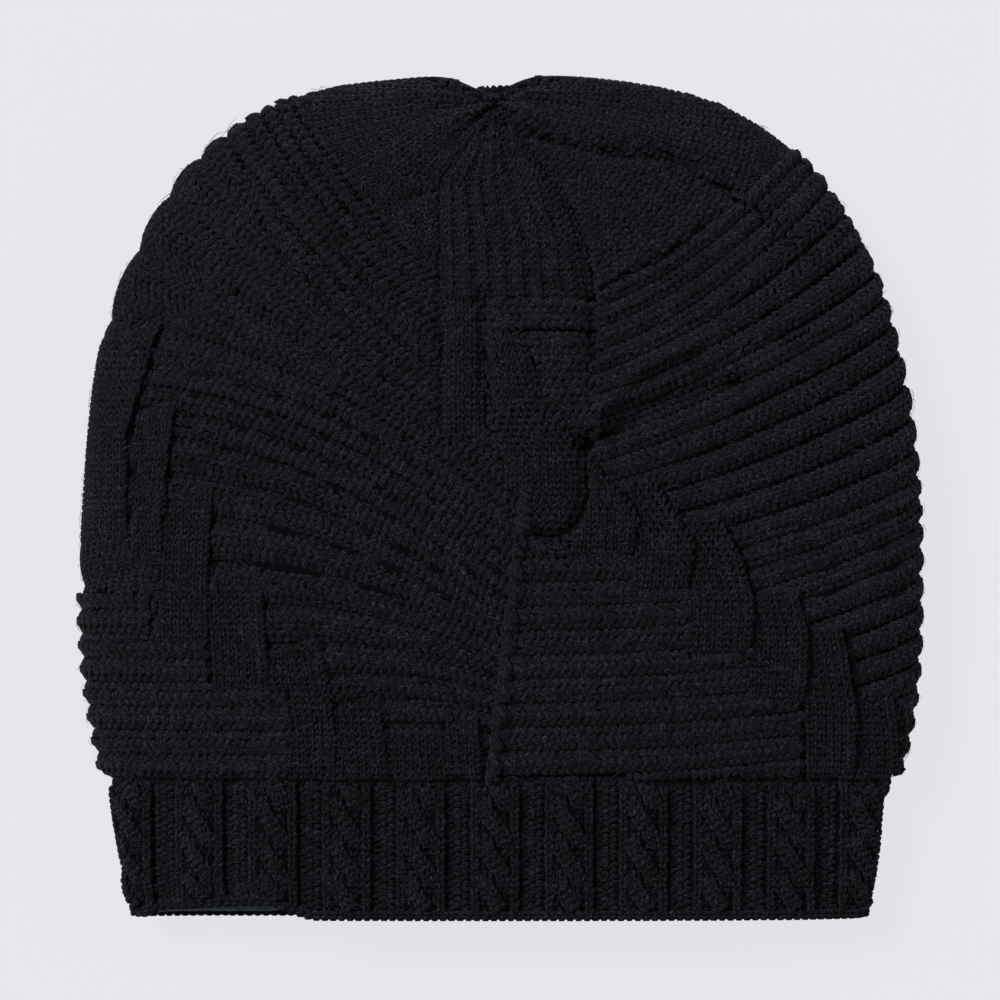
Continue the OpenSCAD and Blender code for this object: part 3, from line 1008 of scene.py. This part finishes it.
def yarn_material(name, dark, light, sheen, fine, tinted=True, gloss=0.13):
    """Matt yarn: lighter fibres, uneven dye, a fibre bump and a soft sheen."""
    mat, t, p, where = new_material(name)
    fibres = put(t, "ShaderNodeTexNoise", Vector=where, Scale=fine, Detail=3.0, Roughness=0.62).outputs[0]
    patches = put(t, "ShaderNodeTexNoise", Vector=where, Scale=45.0, Detail=2.0).outputs[0]
    strength = between(t, patches, 0.82, 1.18, 0.3, 0.7)
    if tinted:
        tint = t.nodes.new("ShaderNodeAttribute")
        tint.attribute_name = "tint"
        strength = maths(t, "MULTIPLY", strength, between(t, tint.outputs["Fac"], 0.68, 1.32))
    scaled = put(t, "ShaderNodeVectorMath", _operation="SCALE", Scale=strength)
    t.links.new(ramp(t, fibres, dark, light, 0.50, 0.69), scaled.inputs[0])
    t.links.new(scaled.outputs[0], p.inputs["Base Color"])
    t.links.new(between(t, fibres, 0.72, 0.95), p.inputs["Roughness"])
    bump(t, p, 0.8, 0.0005, fibres)
    constants(p, Specular_IOR_Level=gloss, Sheen_Weight=sheen, Sheen_Roughness=0.45)
    return mat


def label_material(tone):
    """A woven satin tape with fine threads both ways."""
    mat, t, p, where = new_material("Label tape")
    warp, weft = (
        put(t, "ShaderNodeTexWave", _bands_direction=way, Vector=where, Scale=scale, Distortion=0.6).outputs["Fac"]
        for way, scale in (("X", 900.0), ("Y", 700.0))
    )
    weave = maths(t, "MULTIPLY", warp, weft)
    t.links.new(ramp(t, weave, [0.78 * x for x in tone], tone), p.inputs["Base Color"])
    bump(t, p, 0.4, 0.0002, weave)
    constants(p, Roughness=0.55, Sheen_Weight=0.2)
    return mat


def floor_material(tone):
    """A pale matt floor that keeps a soft shadow and looks evenly pale to the camera."""
    mat, t, p, _ = new_material("Floor")
    constants(p, Base_Color=(*tone, 1), Roughness=1.0, Specular_IOR_Level=0.0)
    glow = t.nodes.new("ShaderNodeEmission")
    constants(glow, Color=(*tone, 1))
    path = t.nodes.new("ShaderNodeLightPath")
    seen = maths(t, "ADD", path.outputs["Is Camera Ray"], path.outputs["Is Glossy Ray"], clamp=True)
    both = t.nodes.new("ShaderNodeMixShader")
    for socket, value in zip(both.inputs, (maths(t, "MULTIPLY", seen, 0.92), p.outputs[0], glow.outputs[0])):
        t.links.new(value, socket)
    t.links.new(both.outputs[0], t.nodes["Material Output"].inputs["Surface"])
    return mat


SIDES = ("upper", "under")
SKIN = []
SHOP = {}


def shop():
    """Makes the skin tables, the stitch tree and the materials, once."""
    if SHOP:
        return
    SKIN.append(Skin())
    SHOP["tree"] = stitch_tree()
    c = bpy.context.scene.beanie_colours
    for key, name, dark, dim, light, bright, sheen, fine, more in (
        ("yarn", "Body yarn", c.yarn, 1, c.yarn_light, 1, 0.05, 1600, {}),
        ("brim_yarn", "Brim yarn", c.yarn, 1, c.yarn_light, 1, 0.05, 1500, {}),
        # the knit ground is the yarn made darker and less glossy: painted shade in the gaps between stitches
        ("ground", "Knit ground", c.yarn, 0.5, c.yarn_light, 0.2, 0.0, 1400, {"tinted": False, "gloss": 0.06}),
        # loose fibres take the lighter fibres' colour raised up to 2.2 times: a painted highlight where they catch the
        # light
        ("fuzz", "Highlighted loose fibres", c.yarn_light, 1, c.yarn_light, 2.2, 0.1, 900, {}),
        ("fleece", "Fleece", c.fleece, 0.72, c.fleece, 1, 0.25, 900, {"tinted": False}),
        ("thread", "Sewing thread", c.thread, 0.7, c.thread, 1, 0.08, 3000, {}),
    ):
        # dim and bright scale the dark and light colours: the ground's 0.5 and 0.2 are painted shade, the fuzz's 2.2 is
        # a painted highlight
        shades = [tuple(k * x for x in shade) for k, shade in ((dim, dark), (bright, light))]
        SHOP[key] = yarn_material(name, *shades, sheen, fine, **more)
    SHOP["label"] = label_material(c.label)


# -- operators


class BEANIE_OT_body(bpy.types.Operator):
    """Knits the slouchy body: its ground and every stitch of both faces"""

    bl_idname = "beanie.body"
    bl_label = "Body"

    def execute(self, context):
        shop()
        length = mm("length")
        w_out = np.concatenate([np.linspace(BRIM_TOP, 200, 84), np.linspace(202, length, 26)])
        w_in = np.linspace(length, BRIM_TOP, 40)
        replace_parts(tube_shell("body_ground", w_out, 280, w_in, 0.95), "knit_body")
        rows = body_stitches()
        for back in (False, True):
            pts = laid(rows[rows[:, 7] != JOIN] if back else rows, back, 11 + back)
            for title, parts in (
                ("left_welts", (LEFT, LOW_LEFT)), ("right_welts", (RIGHT, MIDDLE, PURL, TOP_PURL)),
                ("blocks", (STAIR, LEAF, STRIP, TONGUE, JOIN)), ("crown", (CROWN, RIBS)),
            ):
                for n, lot in enumerate(in_lots(picked(pts, np.isin(pts["part"], parts)))):
                    knit_piece(f"{SIDES[back]}_{title}_{n + 1}", lot, "yarn")
        return {"FINISHED"}


class BEANIE_OT_crown_edge(bpy.types.Operator):
    """Knits the rows that turn over the crown's rim, where the upper and under face meet"""

    bl_idname = "beanie.crown_edge"
    bl_label = "Crown rim"

    def execute(self, context):
        shop()
        skin, crown = SKIN[0], mm("length")
        ws, taus = [], []
        w = np.linspace(float(skin.w_of(np.array(RIM_START))), crown - 0.5, 600)
        for row in range(-4, 5):
            for side in (1, -1):
                back = row < 0
                share = side * (1 - abs(row) * 2.0 / np.interp(w, skin.rows, skin.reach_s[back])).clip(0)
                tau = skin.turn(skin.from_s, w, share, back)
                run = run_along(ring(w, tau)[0])
                at = np.arange(0.5 * (row % 2) * RIM_GAP, run[-1], RIM_GAP)
                ws.append(np.interp(at, run, w))
                taus.append(np.interp(at, run, tau))
        lots = [on_ring(np.concatenate(ws), np.concatenate(taus), 0, KNIT, 1, 1.05, 1, -0.05, seed=41)]
        w = np.linspace(float(skin.w_of(np.array(243.0))), crown - 0.3, 400)
        run = run_along(ring(w, np.full(400, PI / 2))[0])
        for n, w1 in enumerate(np.interp(np.arange(0, run[-1], 1.95), run, w)):
            tau, gap = spaced(w1, 2.2)
            row = on_ring(w1, tau, 0, KNIT, gap / 2.3, 1.05, 1, -0.1, seed=410 + n)
            level = np.abs(outward(np.full(len(tau), w1), tau)[:, 2])
            lots.append(picked(row, (level < 0.42) & (np.abs(np.cos(tau)) < 0.93)))
        for n, lot in enumerate(in_lots(together(*lots))):
            knit_piece(f"crown_rim_{n + 1}", lot, "yarn")
        return {"FINISHED"}


class BEANIE_OT_brim(bpy.types.Operator):
    """Knits the cable brim: its ground, ropes, edge columns and purl gutters"""

    bl_idname = "beanie.brim"
    bl_label = "Brim"

    def execute(self, context):
        shop()
        w_out, w_in = np.linspace(EDGE_TOP, LINK_FOOT, 30), np.linspace(LINK_FOOT, EDGE_TOP, 14)
        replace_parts(tube_shell("brim_ground", w_out, 460, w_in, 0.95), "cable_brim")
        rows = brim_stitches()
        for back in (False, True):
            for n, lot in enumerate(in_lots(laid(rows, back, 31 + back))):
                knit_piece(f"{SIDES[back]}_brim_{n + 1}", lot, "brim_yarn")
        return {"FINISHED"}


def napped_band(name, w_out, w_in, cols, outer, inner, stuff, nap):
    """A closed band between two layers of the envelope, with a napped inner face and a drooping under edge."""
    tau = np.linspace(0, 2 * PI, 2881)
    rings = []
    noise = np.random.default_rng(71)
    for layer, ws in ((outer, w_out), (inner, w_in)):
        for w in ws:
            run = run_along(ring(np.full(len(tau), float(w)), tau, layer)[0])
            t = np.interp(np.arange(cols) * run[-1] / cols, run, tau)
            full = np.full(cols, float(w))
            p = ring(full, t, layer)[0]
            if layer == inner:
                curl = noise.normal(0, nap, cols)
                curl = (curl + np.roll(curl, 1) + np.roll(curl, 2)) / 1.7
                p = p - outward(full, t) * np.abs(curl)[:, None]
            under = (t > PI) * ease(-112, -101, p[:, 0]) * (1 - ease(-69, -56, p[:, 0]))
            p[:, 1] -= 2.9 * under * (1 - ease(w_out[0], w_out[0] + 10, w))
            rings.append(p)
    return ring_piece(name, rings, stuff)


class BEANIE_OT_edges(bpy.types.Operator):
    """Makes the linking course under the body and the bound-off chain at the hem"""

    bl_idname = "beanie.edges"
    bl_label = "Linking course and hem"

    def execute(self, context):
        shop()
        wall = mm("wall")
        w_out, w_in = np.linspace(LINK_FOOT, BRIM_TOP, 4), np.linspace(BRIM_TOP, LINK_FOOT, 3)
        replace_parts(tube_shell("link_ground", w_out, 340, w_in, 0.9), "linking_course")
        lots = []
        for w, lean in ((LINK_FOOT + 0.5, 0.35), (BRIM_TOP - 0.4, -0.35)):
            tau, gap = spaced(w, 2.3)
            lots.append(on_ring(w, tau, lean, BUMPED, gap / 2.3, 1.0, 0.62, 0.05, seed=51))
        knit_piece("linking_stitches", together(*lots), "brim_yarn")
        w_out, w_in = np.linspace(HEM_START, EDGE_TOP, 4), np.linspace(EDGE_TOP, HEM_START, 3)
        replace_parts(tube_shell("hem_ground", w_out, 340, w_in, 0.7), "bind_off_edge")
        tau, gap = spaced(1.2, 2.5)
        chain = on_ring(1.5, tau, PI / 2, KNIT, 0.95, gap / 2.0, 1, 0.15, seed=52)
        end = on_ring(0.3, tau, 0, BUMPED, 1.0, 0.9, 0.8, -0.9, seed=53)
        inner = spaced(0.6, 2.5, wall)[0]
        rim = on_ring(0.6, inner, 0, BUMPED, 1.0, 1.0, 0.8, 1.1, inset=wall, seed=54)
        for lot in (end, rim):
            lot["up"] = lot["face"]
            lot["face"] = np.tile([0.0, -1.0, 0.0], (len(lot["up"]), 1))
        knit_piece("hem_chain", together(chain, end, rim), "brim_yarn")
        return {"FINISHED"}


class BEANIE_OT_gather(bpy.types.Operator):
    """Makes the gathered end of the crown and the yarn drawn round it"""

    bl_idname = "beanie.gather"
    bl_label = "Gather"

    def execute(self, context):
        shop()
        low, high = box_mm("crown_gather")
        middle, half = (low + high) / 2, (high - low) / 2
        rows, cols = 9, 72
        phi = np.arange(cols) * 2 * PI / cols
        verts = []
        for k in np.linspace(0, 1, rows):
            r = 1 - 0.55 * ease(0.55, 1.0, k)
            r = r * (1 + 0.13 * np.cos(12 * phi) * (0.4 + 0.6 * k))
            y = low[1] + (high[1] - low[1]) * k + 0.5 * np.cos(12 * phi + 1) * k
            x, z = (middle[n] + half[n] * r * wave(phi) * 0.95 for n, wave in ((0, np.cos), (2, np.sin)))
            verts += list(np.stack([x, y, z], 1))
        verts += [(middle[0], low[1], middle[2]), (middle[0], high[1] - 1.2, middle[2])]
        faces = stacked(rows, cols)
        faces += [(j, len(verts) - 2, (j + 1) % cols) for j in range(cols)]
        faces += [((rows - 1) * cols + (j + 1) % cols, len(verts) - 1, (rows - 1) * cols + j) for j in range(cols)]
        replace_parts(new_piece("gather_core", verts, faces, "yarn"), "crown_gather")
        n = 24
        phi = np.arange(n) * 2 * PI / n
        lots = []
        for k, size in ((0.25, 1.0), (0.55, 0.85), (0.85, 0.6)):
            r = 1 - 0.5 * ease(0.5, 1.0, k)
            radial = np.stack([np.cos(phi), 0 * phi, np.sin(phi)], 1)
            at = np.array([middle[0], low[1] + (high[1] - low[1]) * k, middle[2]]) + radial * half * r
            face = radial + np.array([0, 0.9 * k, 0])
            up = np.array([0.0, 1.0, 0.0]) - radial * 0.5 * k
            lots.append({
                "at": at, "face": unit(face), "up": up, "size": np.full((n, 3), 0.8 * size),
                "loop": np.full(n, KNIT), "tint": (phi * 7) % 1,
            })
        knit_piece("gather_stitches", together(*lots), "yarn")
        low, high = box_mm("crown_draw_yarn")
        middle, half = (low + high) / 2, (high - low) / 2
        ply = (high[1] - low[1]) / 4 * 0.82
        verts, faces = [], []
        turns, count, sides = 9, 216, 8
        for strand in (0, PI):
            base = len(verts)
            for i in range(count):
                t = 2 * PI * i / count
                spin = turns * t + strand
                r = half[0] - 2 * ply + ply * math.cos(spin)
                out_dir = np.array([math.cos(t), 0, math.sin(t)])
                centre = middle + r * out_dir + np.array([0, ply * math.sin(spin) * 0.9, 0])
                for b in np.arange(sides) * 2 * PI / sides:
                    verts.append(centre + ply * 1.02 * (math.cos(b) * out_dir + math.sin(b) * np.array([0, 1.0, 0])))
            faces += list(loop_grid(np.reshape(verts[base:], (count, sides, 3))) + base)
        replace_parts(new_piece("draw_yarn", verts, faces, "yarn"), "crown_draw_yarn")
        return {"FINISHED"}


def tau_at(w, x, inset):
    """Where on the upper face a distance x from the middle lies."""
    return np.arccos(np.clip(x / slice_rule(w, inset)["half"], -1, 1))


class BEANIE_OT_seam(bpy.types.Operator):
    """Makes the ridge of the sewn join inside the body"""

    bl_idname = "beanie.seam"
    bl_label = "Seam ridge"

    def execute(self, context):
        shop()
        low, high = box_mm("back_seam")
        layer = mm("wall") + 0.35
        w = np.linspace(*(float(SKIN[0].w_of(y)) + gap for y, gap in ((low[1], 0.4), (high[1], -0.4))), 120)
        half = [(-2.1, 0), (-2.3, -0.7), (-1.5, -1.5), (-0.4, -1.2)]
        section = np.array([*half, (0, -0.9), *((-x, z) for x, z in reversed(half)), (0, 0)])
        verts = []
        for i, w1 in enumerate(w):
            p = ring(np.full(len(section), w1), tau_at(w1, section[:, 0], layer), layer)[0]
            p[:, 2] += section[:, 1] * (1 + 0.08 * math.sin(i * 1.9))
            verts += list(p)
        n = len(section)
        faces = stacked(len(w), n) + [tuple(range(n)), tuple(range((len(w) - 1) * n, len(w) * n))]
        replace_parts(new_piece("seam_ridge", verts, faces, "yarn"), "back_seam")
        w = np.arange(w[0] + 1, w[-1] - 1, 2.2)
        lots = [
            on_ring(w, tau_at(w, x, layer), lean, BUMPED, 0.8, 0.8, 0.6, 1.3, inset=layer, inward=True, seed=61)
            for x, lean in ((-1.3, 0.6), (1.3, -0.6))
        ]
        knit_piece("seam_stitches", together(*lots), "yarn")
        return {"FINISHED"}


class BEANIE_OT_lining(bpy.types.Operator):
    """Makes the fleece band inside the brim and sews it in"""

    bl_idname = "beanie.lining"
    bl_label = "Lining"

    def execute(self, context):
        shop()
        low, high = box_mm("fleece_lining")
        outer, inner = mm("wall") + 0.3, mm("wall") + 2.1
        w_out, w_in = np.linspace(low[1], high[1], 14), np.linspace(high[1], low[1], 44)
        band = napped_band("lining", w_out, w_in, 620, outer, inner - 0.3, "fleece", 0.22)
        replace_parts(band, "fleece_lining")
        for node, name in (("lining_top_stitch", "top_stitching"), ("lining_hem_stitch", "hem_stitching")):
            a, b = box_mm(node)
            w = (a[1] + b[1]) / 2
            tau, gap = spaced(w, 3.4, inner)
            pts = on_ring(w, tau, 0, STRAND, gap / 3.0, 0.9, 0.6, 0.25, inset=inner, inward=True, seed=62)
            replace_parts(knit_piece(name, pts, "thread", 0.00042), node)
        a, b = box_mm("lining_join")
        w = np.arange(a[1] + 0.8, b[1] - 0.6, 1.5)
        lean = 0.7 * np.where(np.arange(len(w)) % 2, 1, -1)
        pts = on_ring(w, tau_at(w, 0, inner), lean, STRAND, 1.0, 1.0, 0.8, 0.3, inset=inner, inward=True, seed=63)
        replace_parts(knit_piece("lining_join_stitches", pts, "fleece", 0.00045), "lining_join")
        return {"FINISHED"}


class BEANIE_OT_label(bpy.types.Operator):
    """Makes the blank label inside the brim and its two bar tacks"""

    bl_idname = "beanie.label"
    bl_label = "Label"

    def execute(self, context):
        shop()
        low, high = box_mm("care_label")
        under = mm("wall") + 2.45
        nx, ny = 30, 28
        x, y = (v.ravel() for v in np.meshgrid(np.linspace(low[0], high[0], nx), np.linspace(low[1], high[1], ny)))
        top = ring(y, tau_at(y, x, under), under)[0]
        loose = 1 - (y - low[1]) / (high[1] - low[1])
        top[:, 2] -= 0.9 * loose**2 + 0.12 * np.sin(x * 0.9) * loose
        foot = top - np.array([0, 0, 0.5])
        verts = np.concatenate([top, foot])
        idx = np.arange(nx * ny).reshape(ny, nx)
        faces = []
        for i in range(ny - 1):
            for j in range(nx - 1):
                q = (idx[i, j], idx[i, j + 1], idx[i + 1, j + 1], idx[i + 1, j])
                faces += [q, tuple(v + nx * ny for v in reversed(q))]
        rim = list(idx[0]) + list(idx[1:, -1]) + list(idx[-1, :-1][::-1]) + list(idx[1:-1, 0][::-1])
        faces += [(v, n, n + nx * ny, v + nx * ny) for v, n in zip(rim, rim[1:] + rim[:1])]
        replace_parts(new_piece("blank_label", verts, faces, "label"), "care_label")
        low, high = box_mm("label_tacks")
        w = np.full(9, (low[1] + high[1]) / 2)
        lean = np.where(np.arange(9) % 2, 1.2, 1.9)
        lots = []
        for start in (low[0], high[0] - 4.4):
            tau = tau_at(w, start + np.linspace(0.5, 3.9, 9), under)
            lots.append(on_ring(w, tau, lean, STRAND, 0.5, 1.0, 0.6, 0.75, inset=under, inward=True, seed=64))
        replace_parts(knit_piece("tacks", together(*lots), "thread", 0.00028), "label_tacks")
        return {"FINISHED"}


class BEANIE_OT_fuzz(bpy.types.Operator):
    """Lays short loose fibres all over the knitting"""

    bl_idname = "beanie.fuzz"
    bl_label = "Fuzz"

    def execute(self, context):
        shop()
        rng = np.random.default_rng(81)
        for back, count in ((False, 6600), (True, 1500)):
            a = rng.uniform(-150, 150, count * 2)
            y = rng.uniform(2.5, 247, count * 2)
            size = rng.uniform(0.6, 1.5, count * 2)
            rows = np.stack([a, y, rng.uniform(-PI, PI, count * 2), 0 * a + HAIR, size, size, 0 * a + 0.55, 0 * a], -1)
            pts = laid(rows[SKIN[0].place(a, y, back)[2]][:count], back, 82 + back)
            pts["size"] = pts["size"][:, :1] * np.array([[1.0, 1.0, 0.9]])
            knit_piece(f"{SIDES[back]}_fuzz", pts, "fuzz", sizes().fibre)
        return {"FINISHED"}


FOLD_HEIGHT = 0.017  # metres from the table to the outline the camera sees
FRAME_WIDTH = 0.2966  # metres across the picture at that height


class BEANIE_OT_stage(bpy.types.Operator):
    """Makes the floor, the lights and the camera"""

    bl_idname = "beanie.stage"
    bl_label = "Stage"

    def execute(self, context):
        bpy.ops.mesh.primitive_plane_add(size=6.0, location=(0, 0, 0))
        floor = context.object
        floor.name = "floor"
        floor.data.materials.append(floor_material(context.scene.beanie_colours.floor))
        world = context.scene.world = context.scene.world or bpy.data.worlds.new("World")
        world.use_nodes = True
        constants(world.node_tree.nodes["Background"], Color=(1, 1, 1, 1), Strength=0.27)
        for title, direction, spread, power in (
            ("key_light", (-0.75, 0.62, 1.05), 22, 2.55),
            ("side_light", (0.9, 0.1, 1.0), 50, 0.35),
        ):
            lamp = bpy.data.lights.new(title, "SUN")
            lamp.angle, lamp.energy = math.radians(spread), power
            ob = bpy.data.objects.new(title, lamp)
            ob.location = direction
            ob.rotation_euler = (-Vector(direction)).to_track_quat("-Z", "Y").to_euler()
            context.scene.collection.objects.link(ob)
        cam = bpy.data.cameras.new("camera")
        cam.lens, cam.sensor_width = 200, 36
        ob = bpy.data.objects.new("camera", cam)
        ob.location = (0.0, -0.0007, FOLD_HEIGHT + FRAME_WIDTH * cam.lens / cam.sensor_width)
        cam.clip_end = 20
        context.scene.collection.objects.link(ob)
        context.scene.camera = ob
        context.scene.view_settings.view_transform = "Standard"
        return {"FINISHED"}


class BEANIE_PT_panel(bpy.types.Panel):
    """Lists the steps that make the beanie"""

    bl_label = "Knit Beanie"
    bl_idname = "BEANIE_PT_panel"
    bl_space_type = "VIEW_3D"
    bl_region_type = "UI"
    bl_category = "Beanie"

    def draw(self, context):
        for group in (context.scene.beanie_sizes, context.scene.beanie_colours):
            box = self.layout.box()
            for key in group.bl_rna.properties.keys():
                if key not in ("rna_type", "name"):
                    box.prop(group, key)
        for step in STEPS:
            self.layout.operator(step.bl_idname)


STEPS = (
    BEANIE_OT_body, BEANIE_OT_crown_edge, BEANIE_OT_brim, BEANIE_OT_edges, BEANIE_OT_gather,
    BEANIE_OT_seam, BEANIE_OT_lining, BEANIE_OT_label, BEANIE_OT_fuzz, BEANIE_OT_stage,
)
CLASSES = (BeanieSizes, BeanieColours, *STEPS, BEANIE_PT_panel)


def register():
    for cls in CLASSES:
        bpy.utils.register_class(cls)
    bpy.types.Scene.beanie_sizes = bpy.props.PointerProperty(type=BeanieSizes)
    bpy.types.Scene.beanie_colours = bpy.props.PointerProperty(type=BeanieColours)


def unregister():
    del bpy.types.Scene.beanie_colours
    del bpy.types.Scene.beanie_sizes
    for cls in reversed(CLASSES):
        bpy.utils.unregister_class(cls)


def main():
    register()
    for step in STEPS:
        group, name = step.bl_idname.split(".")
        getattr(getattr(bpy.ops, group), name)()


if __name__ == "__main__":
    main()
